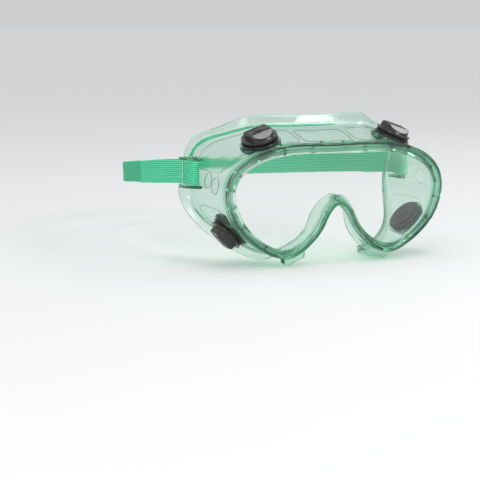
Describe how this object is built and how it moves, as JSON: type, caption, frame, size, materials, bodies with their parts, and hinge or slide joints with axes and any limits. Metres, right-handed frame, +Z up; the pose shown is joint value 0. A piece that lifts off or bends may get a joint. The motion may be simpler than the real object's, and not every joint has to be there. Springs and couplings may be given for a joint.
{
  "type": "safety goggles",
  "caption": "Indirect-vent safety goggles with a soft green moulded frame, one-piece clear lens, capped round vents and an elastic headband.",
  "frame": {"origin": "middle of the face opening, level with the middle of the lens", "axes": "+X to the wearer's left, +Y to the back of the head, +Z up"},
  "size_m": [0.1758, 0.2443, 0.0951],
  "materials": {
    "frame_pvc": "soft clear vinyl, tinted green, smooth moulded gloss",
    "lens_clear": "clear polycarbonate sheet, polished",
    "vent_black": "black moulded plastic, satin to gloss",
    "strap_elastic": "ribbed woven elastic webbing, bright green"
  },
  "bodies": {
    "frame": {"frame_body": "frame_pvc", "lens": "lens_clear", "vent_body_top_left": "vent_black", "vent_retainer_top_left": "vent_black", "vent_baffle_top_left": "vent_black", "vent_body_top_right": "vent_black", "vent_retainer_top_right": "vent_black", "vent_baffle_top_right": "vent_black", "vent_body_low_left": "vent_black", "vent_retainer_low_left": "vent_black", "vent_baffle_low_left": "vent_black", "vent_body_low_right": "vent_black", "vent_retainer_low_right": "vent_black", "vent_baffle_low_right": "vent_black", "headband_turn_left": "strap_elastic", "headband_turn_right": "strap_elastic"},
    "cap_top_left": {"vent_cap_top_left": "vent_black"},
    "cap_top_right": {"vent_cap_top_right": "vent_black"},
    "cap_low_left": {"vent_cap_low_left": "vent_black"},
    "cap_low_right": {"vent_cap_low_right": "vent_black"},
    "headband": {"headband": "strap_elastic", "headband_tail_left": "strap_elastic", "headband_tail_right": "strap_elastic"}
  },
  "joints": [
    {"name": "cap_turn_top_left", "type": "hinge", "parent": "frame", "child": "cap_top_left", "pos_m": [0.0487, -0.0298, 0.0347], "axis": [0.31, -0.24, 0.92], "continuous": true},
    {"name": "cap_turn_top_right", "type": "hinge", "parent": "frame", "child": "cap_top_right", "pos_m": [-0.0487, -0.0298, 0.0347], "axis": [-0.31, -0.24, 0.92], "continuous": true},
    {"name": "cap_turn_low_left", "type": "hinge", "parent": "frame", "child": "cap_low_left", "pos_m": [0.0669, -0.0225, -0.0224], "axis": [0.7314, 0.0301, -0.6813], "continuous": true},
    {"name": "cap_turn_low_right", "type": "hinge", "parent": "frame", "child": "cap_low_right", "pos_m": [-0.0669, -0.0225, -0.0224], "axis": [-0.7314, 0.0301, -0.6813], "continuous": true},
    {"name": "headband_swing", "type": "hinge", "parent": "frame", "child": "headband", "pos_m": [0, 0.0195, 0.013], "axis": [1, 0, 0], "range_deg": [-18, 28]}
  ]
}
